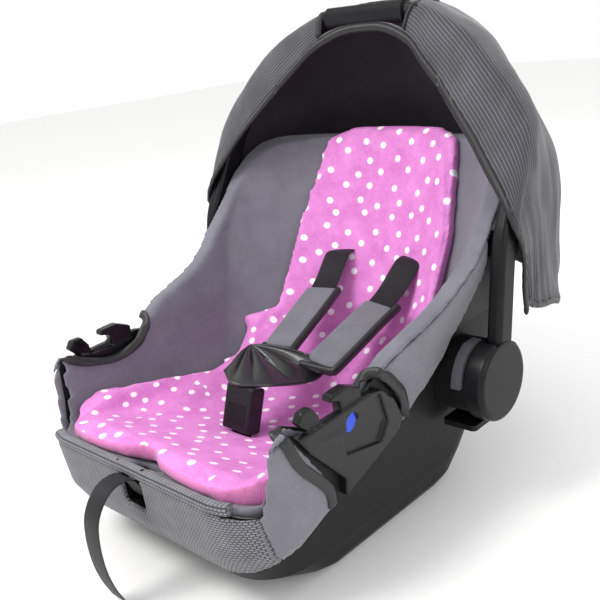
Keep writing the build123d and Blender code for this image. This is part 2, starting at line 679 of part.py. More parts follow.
def handle_path():
    foot = (HUB_FACE_X + HUB_GAP + HUB_PLATE / 2, HUB_Y + 9, ARM_FOOT_Z + 4)
    half = [foot, KNEE, SHOULDER, CROWN, TOP_CORNER]
    route = half + [(-x, y, z) for x, y, z in reversed(half)]
    radii = [90.0, 58.0, 60.0, 55.0, 55.0, 60.0, 58.0, 90.0]
    return FilletPolyline(*route, radius=radii)


def handle_bow(grow=0.0):
    path = handle_path()
    start = Plane(origin=path @ 0, x_dir=(0, 1, 0), z_dir=path % 0)
    return sweep(start * RectangleRounded(ARM_WIDE + 2 * grow, ARM_THICK + 2 * grow, 6 + grow), path=path)


def handle_grip():
    # soft sleeve round the middle of the bow
    sleeve = Pos(0, HANDLE_TOP_Y, HANDLE_TOP_Z) * Rot(0, 90, 0) * extrude(
        RectangleRounded(ARM_THICK + 2 * GRIP_WALL, ARM_WIDE + 2 * GRIP_WALL, 9), GRIP_LENGTH / 2, both=True)
    return sleeve


# ---------------------------------------------------------------- canopy
# each rib: angle back from upright about the hub axis, then points (half-width, distance from the axis)
TOP_R = HANDLE_TOP_Z - HUB_Z
RIBS = [
    (15.0, [(228, 40), (228, 150), (222, 222), (196, TOP_R - 106), (144, TOP_R - 60), (90, TOP_R - 24), (44, TOP_R - 11)],
     TOP_R - 9),
    (20.0, [(229, 40), (230, 160), (227, 240), (211, TOP_R - 84), (151, TOP_R - 14), (106, TOP_R + 14), (60, TOP_R + 33)],
     TOP_R + 36),
    (28.5, [(228, 40), (228, 171), (214, 256), (186, TOP_R - 73), (146, TOP_R - 19), (110, TOP_R + 16), (50, TOP_R + 48)],
     TOP_R + 53),
    (40.0, [(227, 40), (226, 150), (215, 240), (180, 300), (143, 330), (92, 356), (46, 368)], TOP_R + 1),
    (52.0, [(226, 40), (224, 140), (208, 215), (182, 256), (144, 286), (92, 310), (46, 318)], 320.0),
    (66.0, [(224, 40), (221, 130), (208, 186), (186, 218), (150, 246), (98, 266), (48, 274)], 277.0),
    (79.0, [(222, 40), (217, 130), (206, 176), (184, 206), (148, 232), (98, 252), (48, 260)], 262.0),
]


def rib_plane(angle):
    tilt = radians(angle)
    return Plane(origin=(0, HUB_Y, HUB_Z), x_dir=(1, 0, 0), z_dir=(0, cos(tilt), -sin(tilt)))


def rib_face(angle, points, top, shrink, low):
    tilt = radians(angle)
    half = [(x - shrink, r - shrink * (0.2 + 0.8 * r / top)) for x, r in points]
    half[0] = (half[0][0], low)
    whole = half + [(0, top - shrink)] + [(-x, r) for x, r in reversed(half)]
    spots = [Vector(x, HUB_Y + r * sin(tilt), HUB_Z + r * cos(tilt)) for x, r in whole]
    edge = Edge.make_spline(spots)
    base = Edge.make_line(spots[-1], spots[0])
    return Face(Wire([edge, base]))


def canopy_form(shrink, low):
    return loft([rib_face(angle, points, top, shrink, low) for angle, points, top in RIBS])


SEAM_ANGLE = 28.5
HEM_LOW = [                   # lower and front edge of the canopy's sides (y, z)
    (HUB_Y - 60, 0.0), (HUB_Y + 48, 212.0), (HUB_Y + 47, HUB_Z + 150), (HUB_Y + 40, FAR), (HUB_Y - 200, FAR),
    (HUB_Y - 200, 0.0),
]


def canopy_shell():
    whole = canopy_form(0, 40) - canopy_form(HOOD_WALL, 30)
    low = side_solid([(-200, -10), (HUB_Y - 30, 235.0), (HUB_Y + 47, 214.0), (HUB_Y + 170, 176.0), (FAR, 160.0), (FAR, -10)],
                     -FAR / 2, FAR / 2)
    front = side_solid([(HUB_Y - 100, 100), (HUB_Y + 47, 100), (HUB_Y + 47, HUB_Z + 160), (HUB_Y - 100, HUB_Z + 160)],
                       -FAR / 2, FAR / 2)
    window = Pos(0, HANDLE_TOP_Y + 8, HANDLE_TOP_Z + 12) * Box(2 * TOP_CORNER[0] + 6, 60, 52)
    return whole - low - front - window - handle_bow(1.0)


def behind_seam():
    tilt = radians(SEAM_ANGLE)
    return side_solid([(HUB_Y - 400 * sin(tilt), HUB_Z - 400 * cos(tilt)), (HUB_Y + FAR * sin(tilt), HUB_Z + FAR * cos(tilt)),
                       (FAR * 2, FAR), (FAR * 2, -FAR)], -FAR / 2, FAR / 2)


def canopy_pieces():
    shell = canopy_shell()
    cutter = behind_seam()
    skirt = (shell & cutter).solids().sort_by(SortBy.VOLUME)[-1]
    hood = (shell - cutter).solids().sort_by(SortBy.VOLUME)[-1]
    return hood, skirt


# ---------------------------------------------------------------- build
def main():
    os.makedirs("parts", exist_ok=True)
    save("shell_tub", shell_tub())
    save("shell_foam", shell_foam())
    save("base_pads", Compound(base_pads()))
    save("cover_lining", cover_lining())
    rim, lips = cover_rims()
    save("cover_rim", rim)
    save("cover_lip_left", lips[0])
    save("cover_lip_right", lips[1])
    apron, flap, corners = cover_panels()
    save("cover_apron", apron)
    save("cover_flap", flap)
    save("cover_corner_left", corners[0])
    save("cover_corner_right", corners[1])
    sides("cover_binding", cover_binding)
    save("liner_pad", liner_pad())
    sides("belt_guide", belt_guide)
    sides("belt_mark", belt_mark)
    sides("shoulder_strap", shoulder_strap)
    sides("shoulder_pad", shoulder_pad)
    save("strap_joiner", strap_joiner())
    save("strap_tongues", Compound(strap_tongues()))
    save("buckle_body", buckle_body())
    save("buckle_button", buckle_button())
    save("crotch_strap", crotch_strap())
    save("adjuster_tail", adjuster_tail())
    save("adjuster_housing", adjuster_housing())
    save("adjuster_lever", adjuster_lever())
    save("yoke_plate", yoke_plate())
    save("rear_webbing", rear_webbing())
    sides("hub_housing", hub_housing)
    sides("hub_pin", hub_pin)
    sides("release_key", release_key)
    sides("hub_cover", hub_cover)
    save("handle_bow", handle_bow())
    save("handle_grip", handle_grip() - handle_bow())
    hood, skirt = canopy_pieces()
    save("canopy_hood", hood)
    save("canopy_skirt", skirt)


if __name__ == "__main__":
    main()
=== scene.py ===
import math

import bmesh
import bpy
from mathutils import Matrix, Vector, noise


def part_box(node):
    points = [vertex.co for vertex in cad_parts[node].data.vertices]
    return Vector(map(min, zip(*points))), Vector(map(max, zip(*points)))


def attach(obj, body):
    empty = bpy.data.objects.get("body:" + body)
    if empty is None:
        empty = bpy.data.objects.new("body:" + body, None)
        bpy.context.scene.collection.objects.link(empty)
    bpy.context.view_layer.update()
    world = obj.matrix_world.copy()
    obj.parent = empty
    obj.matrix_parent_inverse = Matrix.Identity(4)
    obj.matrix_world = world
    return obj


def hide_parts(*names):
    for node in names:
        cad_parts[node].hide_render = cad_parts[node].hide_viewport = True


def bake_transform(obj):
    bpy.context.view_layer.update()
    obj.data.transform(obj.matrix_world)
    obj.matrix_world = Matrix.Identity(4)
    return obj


# Infant car seat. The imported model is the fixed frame; the fabric, webbing and finishes are made here.
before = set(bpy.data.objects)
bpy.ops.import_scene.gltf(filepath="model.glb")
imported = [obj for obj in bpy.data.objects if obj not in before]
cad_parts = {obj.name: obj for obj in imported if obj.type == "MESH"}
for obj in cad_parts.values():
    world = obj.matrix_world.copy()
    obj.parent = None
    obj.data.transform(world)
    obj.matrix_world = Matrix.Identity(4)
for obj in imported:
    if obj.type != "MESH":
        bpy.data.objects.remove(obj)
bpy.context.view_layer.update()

# ---------------------------------------------------------------- places
# Lengths are written in millimetres from the seat's own datum, whose hinge axis is at (HUB_Y, HUB_Z).
MM = 0.001
HUB_Y = 60.0
HUB_Z = 150.0
pin_low, pin_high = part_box("hub_pin_right")
SHIFT = Vector((0, (pin_low[1] + pin_high[1]) / 2 - HUB_Y * MM, (pin_low[2] + pin_high[2]) / 2 - HUB_Z * MM))


def at(x, y, z):
    return Vector((x, y, z)) * MM + SHIFT


def datum(point):
    # back from metres to the seat's own millimetres
    return (Vector(point) - SHIFT) / MM


# ---------------------------------------------------------------- camera, floor and light
def aim(name, place, right, up, lens):
    back = right.cross(up).normalized()
    up = back.cross(right).normalized()
    turn = Matrix((right.normalized(), up, back)).transposed().to_4x4()
    turn.translation = place
    camera = bpy.data.cameras.new(name)
    camera.lens = lens
    camera.sensor_width = 36
    holder = bpy.data.objects.new(name, camera)
    bpy.context.collection.objects.link(holder)
    holder.matrix_world = turn
    return holder


bpy.context.scene.camera = aim("camera", at(637.2, -632.6, 520.6), Vector((0.73015, 0.67450, -0.10920)),
                               Vector((-0.13877, 0.30286, 0.94288)), 49.78)


def soft_box(name, place, target, size, power, tint):
    light = bpy.data.lights.new(name, "AREA")
    light.shape = "DISK"
    light.size = size
    light.energy = power
    light.color = tint
    holder = bpy.data.objects.new(name, light)
    bpy.context.collection.objects.link(holder)
    holder.location = place
    holder.rotation_euler = (Vector(target) - Vector(place)).to_track_quat("-Z", "Y").to_euler()


soft_box("key_light", (-0.5, -1.3, 2.0), (0, 0, 0.2), 0.9, 34, (1.0, 0.99, 0.98))
soft_box("side_light", (1.9, -0.3, 1.1), (0, 0, 0.2), 1.0, 7, (0.97, 0.98, 1.0))
soft_box("back_light", (0.4, 1.9, 1.7), (0, 0, 0.3), 1.2, 9, (1.0, 1.0, 1.0))
bpy.context.scene.view_settings.view_transform = "Standard"
world = bpy.data.worlds.new("studio")
world.use_nodes = True
world.node_tree.nodes["Background"].inputs["Color"].default_value = (1.0, 1.0, 1.0, 1)
world.node_tree.nodes["Background"].inputs["Strength"].default_value = 1.0
bpy.context.scene.world = world


# ---------------------------------------------------------------- materials
def linear(code):
    channels = [int(code[i:i + 2], 16) / 255 for i in (1, 3, 5)]
    return tuple(c / 12.92 if c <= 0.04045 else ((c + 0.055) / 1.055) ** 2.4 for c in channels) + (1.0,)


def add(tree, kind, settings=None, **links):
    node = tree.nodes.new(kind)
    for name, value in (settings or {}).items():
        if name in node.inputs:
            node.inputs[name].default_value = value
        else:
            setattr(node, name, value)
    for name, socket in links.items():
        key = int(name[1:]) if name[0] == "i" and name[1:].isdigit() else name.replace("_", " ")
        tree.links.new(socket, node.inputs[key])
    return node


def base(name, color, roughness, **settings):
    material = bpy.data.materials.new(name)
    material.use_nodes = True
    shader = material.node_tree.nodes["Principled BSDF"]
    shader.inputs["Base Color"].default_value = linear(color)
    shader.inputs["Roughness"].default_value = roughness
    for key, value in settings.items():
        shader.inputs[key.replace("_", " ")].default_value = value
    return material, material.node_tree, shader


def spread(tree, socket, low, high, start, end):
    # maps a grey value onto a range
    ranges = {"From Min": low, "From Max": high, "To Min": start, "To Max": end}
    node = add(tree, "ShaderNodeMapRange", ranges, Value=socket)
    return node.outputs["Result"]


def tinted(tree, socket, dark, light):
    node = add(tree, "ShaderNodeMix", {"data_type": "RGBA"})
    tree.links.new(socket, node.inputs[0])
    node.inputs[6].default_value = linear(dark)
    node.inputs[7].default_value = linear(light)
    return node.outputs[2]


def raised(tree, shader, socket, height_mm, under=None):
    node = add(tree, "ShaderNodeBump", {"Strength": 1.0, "Distance": height_mm * MM}, Height=socket)
    if under is not None:
        tree.links.new(under, node.inputs["Normal"])
    tree.links.new(node.outputs["Normal"], shader.inputs["Normal"])
    return node.outputs["Normal"]


def object_place(tree):
    return add(tree, "ShaderNodeTexCoord").outputs["Object"]


def cloth_place(tree):
    # the piece's own flat pattern coordinates, in metres
    return add(tree, "ShaderNodeAttribute", {"attribute_name": "cloth"}).outputs["Vector"]


def moulded_plastic(name, dark, light, roughness, grain_mm, coat=0.0):
    # injection moulded plastic: spark-eroded fine grain, faint flow mottling, slightly polished patches
    material, tree, shader = base(name, dark, roughness, IOR=1.49, Specular_IOR_Level=0.2, Coat_Weight=coat,
                                  Coat_Roughness=0.12)
    place = object_place(tree)
    mottle = add(tree, "ShaderNodeTexNoise", {"Scale": 1 / 0.045, "Detail": 4.0, "Roughness": 0.6},
                 Vector=place)
    grain = add(tree, "ShaderNodeTexNoise", {"Scale": 1 / (grain_mm * MM), "Detail": 2.0}, Vector=place)
    tree.links.new(tinted(tree, spread(tree, mottle.outputs["Fac"], 0.35, 0.65, 0, 1), dark, light),
                   shader.inputs["Base Color"])
    tree.links.new(spread(tree, mottle.outputs["Fac"], 0.3, 0.7, roughness - 0.05, roughness + 0.07),
                   shader.inputs["Roughness"])
    raised(tree, shader, grain.outputs["Fac"], 0.05)
    return material


def knitted(name, dark, light, stitch_mm, relief_mm, roughness=0.85):
    # brushed warp knit: small close stitches, a soft sheen at grazing angles, faint mottling
    material, tree, shader = base(name, dark, roughness, Sheen_Weight=0.3, Sheen_Roughness=0.45, IOR=1.4)
    place = object_place(tree)
    stitches = add(tree, "ShaderNodeTexVoronoi", {"Scale": 1 / (stitch_mm * MM), "Randomness": 0.55},
                   Vector=place)
    mottle = add(tree, "ShaderNodeTexNoise", {"Scale": 1 / 0.035, "Detail": 7.0, "Roughness": 0.7},
                 Vector=place)
    tone = add(tree, "ShaderNodeMath", {"operation": "MULTIPLY_ADD", "use_clamp": True},
               i0=stitches.outputs["Distance"])
    tone.inputs[1].default_value = -0.8
    tree.links.new(spread(tree, mottle.outputs["Fac"], 0.3, 0.7, 0.55, 1.15), tone.inputs[2])
    tree.links.new(tinted(tree, tone.outputs[0], dark, light), shader.inputs["Base Color"])
    raised(tree, shader, stitches.outputs["Distance"], -relief_mm)
    return material


def waffle_mesh(name, dark, light, pitch_mm):
    # spacer mesh: staggered rows of light raised yarn loops with dark hollows between them
    material, tree, shader = base(name, dark, 0.8, Sheen_Weight=0.2, Sheen_Roughness=0.5)
    place = add(tree, "ShaderNodeMapping", {"Rotation": (math.pi / 2, 0, 0)}, Vector=object_place(tree))
    row = pitch_mm * MM
    loops = add(tree, "ShaderNodeTexBrick", {
        "Scale": 1.0, "Brick Width": 1.5 * row, "Row Height": row, "Mortar Size": 0.26 * row,
        "Mortar Smooth": 0.9, "Color1": linear(light), "Color2": linear(light), "Mortar": linear(dark),
        "offset": 0.5}, Vector=place.outputs["Vector"])
    fuzz = add(tree, "ShaderNodeTexNoise", {"Scale": 1 / 0.012, "Detail": 5.0},
               Vector=place.outputs["Vector"])
    shade = add(tree, "ShaderNodeMix", {"data_type": "RGBA", "blend_type": "MULTIPLY"})
    shade.inputs[0].default_value = 0.55
    tree.links.new(loops.outputs["Color"], shade.inputs[6])
    tree.links.new(fuzz.outputs["Fac"], shade.inputs[7])
    tree.links.new(shade.outputs[2], shader.inputs["Base Color"])
    raised(tree, shader, loops.outputs["Fac"], -0.6)
    return material


def spotted_plush(name, dark, light, spot, pitch_mm, spot_mm):
    # short-pile plush: soft uneven nap with a staggered print of round white spots
    material, tree, shader = base(name, dark, 0.9, Sheen_Weight=0.6, Sheen_Roughness=0.4,
                                  Sheen_Tint=linear(light))
    place = object_place(tree)
    nap = add(tree, "ShaderNodeTexNoise", {"Scale": 1 / 0.0022, "Detail": 3.0}, Vector=place)
    lay = add(tree, "ShaderNodeTexNoise", {"Scale": 1 / 0.025, "Detail": 5.0, "Roughness": 0.7}, Vector=place)
    tone = add(tree, "ShaderNodeMath", {"operation": "MULTIPLY_ADD", "use_clamp": True},
               i0=nap.outputs["Fac"])
    tone.inputs[1].default_value = 0.7
    tree.links.new(spread(tree, lay.outputs["Fac"], 0.3, 0.7, -0.25, 0.55), tone.inputs[2])
    pile = tinted(tree, tone.outputs[0], dark, light)
    cell = 1 / (pitch_mm * MM)
    turned = add(tree, "ShaderNodeMapping", {"Rotation": (0, 0, math.pi / 4), "Scale": (cell, cell, 0)},
                 Vector=cloth_place(tree))
    spots = add(tree, "ShaderNodeTexVoronoi", {"Scale": 1.0, "Randomness": 0.5, "voronoi_dimensions": "2D"},
                Vector=turned.outputs["Vector"])
    edge = spot_mm / pitch_mm / 2
    mask = spread(tree, spots.outputs["Distance"], edge * 0.82, edge * 1.15, 1, 0)
    mixed = add(tree, "ShaderNodeMix", {"data_type": "RGBA"})
    tree.links.new(mask, mixed.inputs[0])
    tree.links.new(pile, mixed.inputs[6])
    mixed.inputs[7].default_value = linear(spot)
    tree.links.new(mixed.outputs[2], shader.inputs["Base Color"])
    raised(tree, shader, nap.outputs["Fac"], 0.7)
    return material


def woven_web(name, dark, light, rib_mm, roughness, direction="X", relief_mm=0.25, shine=0.3):
    # woven tape: close ribs in the weave, a little shine on the yarn
    material, tree, shader = base(name, dark, roughness, Sheen_Weight=0.05, Specular_IOR_Level=shine,
                                  IOR=1.45)
    place = cloth_place(tree)
    pitch = 2 * math.pi / 20 / (rib_mm * MM)
    ribs = add(tree, "ShaderNodeTexWave", {"Scale": pitch, "bands_direction": direction}, Vector=place)
    yarn = add(tree, "ShaderNodeTexNoise", {"Scale": 1 / 0.003, "Detail": 3.0}, Vector=place)
    tone = add(tree, "ShaderNodeMath", {"operation": "MULTIPLY"}, i0=ribs.outputs["Fac"],
               i1=yarn.outputs["Fac"])
    tree.links.new(tinted(tree, tone.outputs[0], dark, light), shader.inputs["Base Color"])
    raised(tree, shader, ribs.outputs["Fac"], relief_mm)
    return material


def pinstriped(name, dark, light, stripe, pitch_mm):
    # tightly woven polyester with a light thread every few millimetres
    material, tree, shader = base(name, dark, 0.72, Sheen_Weight=0.25, Sheen_Roughness=0.4)
    place = cloth_place(tree)
    parts = add(tree, "ShaderNodeSeparateXYZ", Vector=place)
    step = add(tree, "ShaderNodeMath", {"operation": "MULTIPLY"}, i0=parts.outputs["Y"])
    step.inputs[1].default_value = 1 / (pitch_mm * MM)
    phase = add(tree, "ShaderNodeMath", {"operation": "FRACT"}, i0=step.outputs[0])
    away = add(tree, "ShaderNodeMath", {"operation": "SUBTRACT"}, i0=phase.outputs[0])
    away.inputs[1].default_value = 0.5
    near = add(tree, "ShaderNodeMath", {"operation": "ABSOLUTE"}, i0=away.outputs[0])
    line = spread(tree, near.outputs[0], 0.04, 0.13, 1, 0)
    weave = add(tree, "ShaderNodeTexNoise", {"Scale": 1 / 0.0016, "Detail": 2.0}, Vector=place)
    mottle = add(tree, "ShaderNodeTexNoise", {"Scale": 1 / 0.05, "Detail": 5.0}, Vector=place)
    tone = add(tree, "ShaderNodeMath", {"operation": "MULTIPLY"}, i0=weave.outputs["Fac"],
               i1=mottle.outputs["Fac"])
    ground = tinted(tree, spread(tree, tone.outputs[0], 0.12, 0.4, 0, 1), dark, light)
    mixed = add(tree, "ShaderNodeMix", {"data_type": "RGBA"})
    faded = add(tree, "ShaderNodeMath", {"operation": "MULTIPLY"}, i0=line)
    tree.links.new(spread(tree, mottle.outputs["Fac"], 0.3, 0.7, 0.35, 0.9), faded.inputs[1])
    tree.links.new(faded.outputs[0], mixed.inputs[0])
    tree.links.new(ground, mixed.inputs[6])
    mixed.inputs[7].default_value = linear(stripe)
    tree.links.new(mixed.outputs[2], shader.inputs["Base Color"])
    raised(tree, shader, weave.outputs["Fac"], 0.12)
    return material


def plated_steel(name):
    # zinc-plated steel: brushed along the part, with dull spangle
    material, tree, shader = base(name, "#a9abb0", 0.35, Metallic=1.0)
    brushed = add(tree, "ShaderNodeMapping", {"Scale": (1, 12, 1)}, Vector=object_place(tree))
    marks = add(tree, "ShaderNodeTexNoise", {"Scale": 1 / 0.004, "Detail": 4.0},
                Vector=brushed.outputs["Vector"])
    tree.links.new(spread(tree, marks.outputs["Fac"], 0.3, 0.7, 0.28, 0.5), shader.inputs["Roughness"])
    raised(tree, shader, marks.outputs["Fac"], 0.03)
    return material


def bead_foam(name):
    # expanded bead foam: pale closed cells a few millimetres across
    material, tree, shader = base(name, "#d9d8d2", 0.9)
    cells = add(tree, "ShaderNodeTexVoronoi", {"Scale": 1 / 0.004}, Vector=object_place(tree))
    tree.links.new(tinted(tree, cells.outputs["Distance"], "#e4e3de", "#b9b8b1"), shader.inputs["Base Color"])
    raised(tree, shader, cells.outputs["Distance"], -0.4)
    return material


def pale_floor(name):
    # matt studio paper
    material, tree, shader = base(name, "#f4f4f3", 0.9)
    tooth = add(tree, "ShaderNodeTexNoise", {"Scale": 1 / 0.01, "Detail": 3.0}, Vector=object_place(tree))
    tree.links.new(tinted(tree, tooth.outputs["Fac"], "#f2f2f1", "#f7f7f6"), shader.inputs["Base Color"])
    return material


SHELL = moulded_plastic("moulded_shell_plastic", "#0f0f10", "#161617", 0.46, 0.8)
HANDLE = moulded_plastic("moulded_handle_plastic", "#0e0e10", "#161618", 0.36, 0.7)
GLOSSY = moulded_plastic("polished_black_plastic", "#0b0b0d", "#141417", 0.3, 1.2, coat=0.2)
KEY = moulded_plastic("grey_key_plastic", "#4a4b50", "#5a5b60", 0.45, 0.8)
BLUE = moulded_plastic("blue_gloss_plastic", "#1a3fc4", "#2450dc", 0.25, 1.5, coat=0.2)
RUBBER = moulded_plastic("soft_touch_rubber", "#121214", "#1c1c1f", 0.6, 0.9)
KNIT = knitted("grey_cover_knit", "#63626b", "#7b7a84", 1.1, 0.2)
FLAP = knitted("outer_flap_knit", "#64636b", "#7c7b84", 1.1, 0.2)
MESH = waffle_mesh("waffle_spacer_mesh", "#2a2a2f", "#8b8b93", 2.7)
PLUSH = spotted_plush("pink_spotted_plush", "#c96fba", "#e594d8", "#fdf4fc", 26.0, 8.4)
# plain rose side band of the cushion, in a deeper tone that is painted shade on the sides turned from the
# light
PLUSH_SIDE_BAND_SHADE = knitted("rose_fleece_boxing_painted_shade", "#cf6fae", "#e58cc4", 1.6, 0.5)
WEB = woven_web("black_webbing", "#0c0c0e", "#29292e", 1.4, 0.5)
TAPE = woven_web("black_binding_tape", "#0a0a0c", "#222226", 1.0, 0.36, "Y", 0.12, 0.6)
SATIN = woven_web("black_pleated_satin", "#09090b", "#1c1c20", 0.8, 0.26, "Y", 0.08, 1.0)
PAD_GREY = knitted("grey_pad_knit", "#606068", "#787880", 1.2, 0.25)
CANOPY = pinstriped("pinstriped_canopy_cloth", "#29292d", "#3f3f45", "#7a7a82", 4.2)
# painted shade: a darker, plainer cloth for the hood's inside faces, standing in for the shade inside the
# hood
CANOPY_INSIDE_SHADE = knitted("canopy_inside_painted_shade", "#241f26", "#352e38", 1.6, 0.1)
STEEL = plated_steel("zinc_plated_steel")
FOAM = bead_foam("bead_foam")


def both(name):
    return [name + "_left", name + "_right"]


def finish_node(material, slot, *names):
    for name in names:
        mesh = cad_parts[name].data
        mesh.materials.clear()
        mesh.materials.append(material)


finish_node(SHELL, "shell_plastic", "shell_tub", *both("hub_housing"))
finish_node(HANDLE, "handle_plastic", "handle_bow", *both("hub_cover"))
finish_node(RUBBER, "grip_rubber", "handle_grip", "base_pads")
finish_node(KEY, "key_plastic", *both("release_key"))
finish_node(GLOSSY, "buckle_plastic", "buckle_body", "adjuster_housing")
finish_node(HANDLE, "button_plastic", "buckle_button", "adjuster_lever")
finish_node(BLUE, "blue_mark", *both("belt_mark"))
finish_node(STEEL, "steel", "yoke_plate", "strap_tongues", *both("hub_pin"))
finish_node(FOAM, "foam", "shell_foam")


# ---------------------------------------------------------------- making pieces
def deselect():
    bpy.ops.object.select_all(action="DESELECT")


def take(piece):
    deselect()
    piece.select_set(True)
    bpy.context.view_layer.objects.active = piece


def settle(piece, kind, **settings):
    # adds a modifier and applies it
    take(piece)
    modifier = piece.modifiers.new(kind.lower(), kind)
    for name, value in settings.items():
        setattr(modifier, name, value)
    bpy.ops.object.modifier_apply(modifier=modifier.name)


def dress(piece, material, body):
    piece.data.materials.clear()
    piece.data.materials.append(material)
    piece.data.polygons.foreach_set("use_smooth", [True] * len(piece.data.polygons))
    if body:
        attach(piece, body)
    return piece


def from_points(name, points, faces):
    mesh = bpy.data.meshes.new(name)
    mesh.from_pydata([tuple(p) for p in points], [], faces)
    piece = bpy.data.objects.new(name, mesh)
    bpy.context.collection.objects.link(piece)
    return piece


def set_cloth(piece, values):
    # stores each point's place on the flat cloth
    layer = piece.data.attributes.new("cloth", "FLOAT_VECTOR", "POINT")
    layer.data.foreach_set("vector", [c for value in values for c in value])


def copy_of(name, nodes):
    # one welded mesh made from copies of CAD solids
    deselect()
    copies = []
    for node in nodes:
        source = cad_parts[node]
        double = bpy.data.objects.new(name, source.data.copy())
        bpy.context.collection.objects.link(double)
        double.select_set(True)
        copies.append(double)
    bpy.context.view_layer.objects.active = copies[0]
    if len(copies) > 1:
        bpy.ops.object.join()
    piece = bpy.context.view_layer.objects.active
    piece.name = name
    take(piece)
    bpy.ops.object.mode_set(mode="EDIT")
    bpy.ops.mesh.select_all(action="SELECT")
    bpy.ops.mesh.remove_doubles(threshold=0.00002)
    bpy.ops.object.mode_set(mode="OBJECT")
    return piece


def softened(name, nodes, voxel_mm, passes):
    # rounds hard-edged solids into one soft skin
    piece = copy_of(name, nodes)
    settle(piece, "REMESH", mode="VOXEL", voxel_size=voxel_mm * MM, use_smooth_shade=True)
    settle(piece, "SMOOTH", factor=0.5, iterations=passes)
    return piece


def route_curve(points, steps=12):
    # a smooth line through given points
    points = [Vector(p) for p in points]
    ends = [2 * points[0] - points[1]] + points + [2 * points[-1] - points[-2]]
    line = []
    for a, b, c, d in zip(ends, ends[1:], ends[2:], ends[3:]):
        for i in range(steps):
            t = i / steps
            line.append(0.5 * (2 * b + (c - a) * t + (2 * a - 5 * b + 4 * c - d) * t * t
                               + (3 * b - a - 3 * c + d) * t ** 3))
    line.append(points[-1])
    return line


def ribbon(name, line, across, width, thick, bulge=0.0):
    # flat woven strap along a line, with rounded edges; across gives its width direction
    section = []
    for i in range(12):
        angle = 2 * math.pi * i / 12
        flat = math.copysign(abs(math.cos(angle)) ** 0.35, math.cos(angle))
        section.append((flat * width / 2, math.sin(angle) * (thick / 2)))
    points = []
    places = []
    run = 0.0
    for i, point in enumerate(line):
        ahead = line[min(i + 1, len(line) - 1)] - line[max(i - 1, 0)]
        along = ahead.normalized()
        side = across(i / (len(line) - 1)) if callable(across) else across
        side = (side - along * side.dot(along)).normalized()
        up = side.cross(along)
        if i:
            run += (point - line[i - 1]).length
        for x, h in section:
            lift = bulge * (1 - (2 * x / width) ** 2)
            points.append(point + side * x + up * (h + lift))
            places.append((x, run, 0))
    faces = []
    for i in range(len(line) - 1):
        for j in range(12):
            k = (j + 1) % 12
            faces.append((i * 12 + j, i * 12 + k, (i + 1) * 12 + k, (i + 1) * 12 + j))
    faces.append(tuple(range(11, -1, -1)))
    faces.append(tuple((len(line) - 1) * 12 + j for j in range(12)))
    piece = from_points(name, points, faces)
    set_cloth(piece, places)
    return face_out(piece)


def face_out(piece):
    take(piece)
    bpy.ops.object.mode_set(mode="EDIT")
    bpy.ops.mesh.select_all(action="SELECT")
    bpy.ops.mesh.normals_make_consistent(inside=False)
    bpy.ops.object.mode_set(mode="OBJECT")
    return piece


def piping(name, points, radius_mm, material, body, steps=10, flat=1.0):
    # round or flattened tube along a given route
    line = route_curve([at(*p) for p in points], steps)
    count = 10
    ring_points = []
    places = []
    run = 0.0
    up = Vector((0, 0, 1))
    for i, point in enumerate(line):
        along = (line[min(i + 1, len(line) - 1)] - line[max(i - 1, 0)]).normalized()
        side = along.cross(up)
        side = side.normalized() if side.length > 0.15 else Vector((1, 0, 0))
        up = side.cross(along).normalized()
        if i:
            run += (point - line[i - 1]).length
        for j in range(count):
            angle = 2 * math.pi * j / count
            spoke = side * math.cos(angle) + up * math.sin(angle) * flat
            ring_points.append(point + spoke * radius_mm * MM)
            places.append((angle * radius_mm * MM, run, 0))
    faces = []
    for i in range(len(line) - 1):
        for j in range(count):
            k = (j + 1) % count
            faces.append((i * count + j, i * count + k, (i + 1) * count + k, (i + 1) * count + j))
    faces.append(tuple(range(count - 1, -1, -1)))
    faces.append(tuple((len(line) - 1) * count + j for j in range(count)))
    piece = from_points(name, ring_points, faces)
    set_cloth(piece, places)
    return dress(face_out(piece), material, body)


def mirrored(points):
    return [(-x, y, z) for x, y, z in points]


# ---------------------------------------------------------------- cover
inner = softened("cover_inner", ["cover_lining", "cover_rim"], 3.6, 6)
dress(inner, KNIT, "seat")
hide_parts("cover_lining", "cover_rim")

outer = softened("cover_outer", ["cover_flap", "cover_corner_left", "cover_corner_right"], 3.0, 4)
dress(outer, FLAP, "seat")
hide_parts("cover_flap", "cover_corner_left", "cover_corner_right")

apron = softened("cover_front", ["cover_apron", "cover_lip_left", "cover_lip_right"], 3.0, 3)
dress(apron, MESH, "seat")
apron.data.materials.append(KNIT)
for face in apron.data.polygons:
    face.material_index = int(datum(face.center).z > 136)
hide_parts("cover_apron", "cover_lip_left", "cover_lip_right")

for side, sign in (("left", -1), ("right", 1)):
    guide = softened("guide_" + side, ["belt_guide_" + side], 1.3, 3)
    dress(guide, GLOSSY, "seat")
    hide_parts("belt_guide_" + side)

# the tape that binds the cover's cut-out: up its front edge, over the rim and along, down the rear arch
NOTCH_TAPE = [
    (178, -150, 92), (180, -158, 118), (186, -196, 160), (190, -212, 192), (172, -210, 198), (158, -196, 192),
    (155, -166, 182), (155, -124, 182), (158, -100, 196), (172, -92, 206), (190, -84, 204), (192, -62, 184),
    (188, -46, 164), (182, -42, 140),
]


def eased(line):
    # each inner point drawn towards its neighbours
    return [line[0]] + [(a + 2 * b + c) / 4 for a, b, c in zip(line, line[1:], line[2:])] + [line[-1]]


def hugging(name, route, covers, width, thick):
    # a flat tape laid on the nearest cover cloth along a given route
    line = route_curve([at(*p) for p in route], 8)
    spots, outs = [], []
    for point in line:
        found = [cover.closest_point_on_mesh(point) for cover in covers]
        near = min(found, key=lambda hit: (hit[1] - point).length)
        spots.append(near[1] + near[2] * thick * 0.3)
        outs.append(near[2])
    for turn in range(3):
        spots = eased(spots)
        outs = eased(outs)

    def across(share):
        i = round(share * (len(spots) - 1))
        along = spots[min(i + 1, len(spots) - 1)] - spots[max(i - 1, 0)]
        return along.cross(outs[i])

    piece = ribbon(name, spots, across, width, thick, 0.6 * MM)
    return dress(piece, TAPE, "seat")


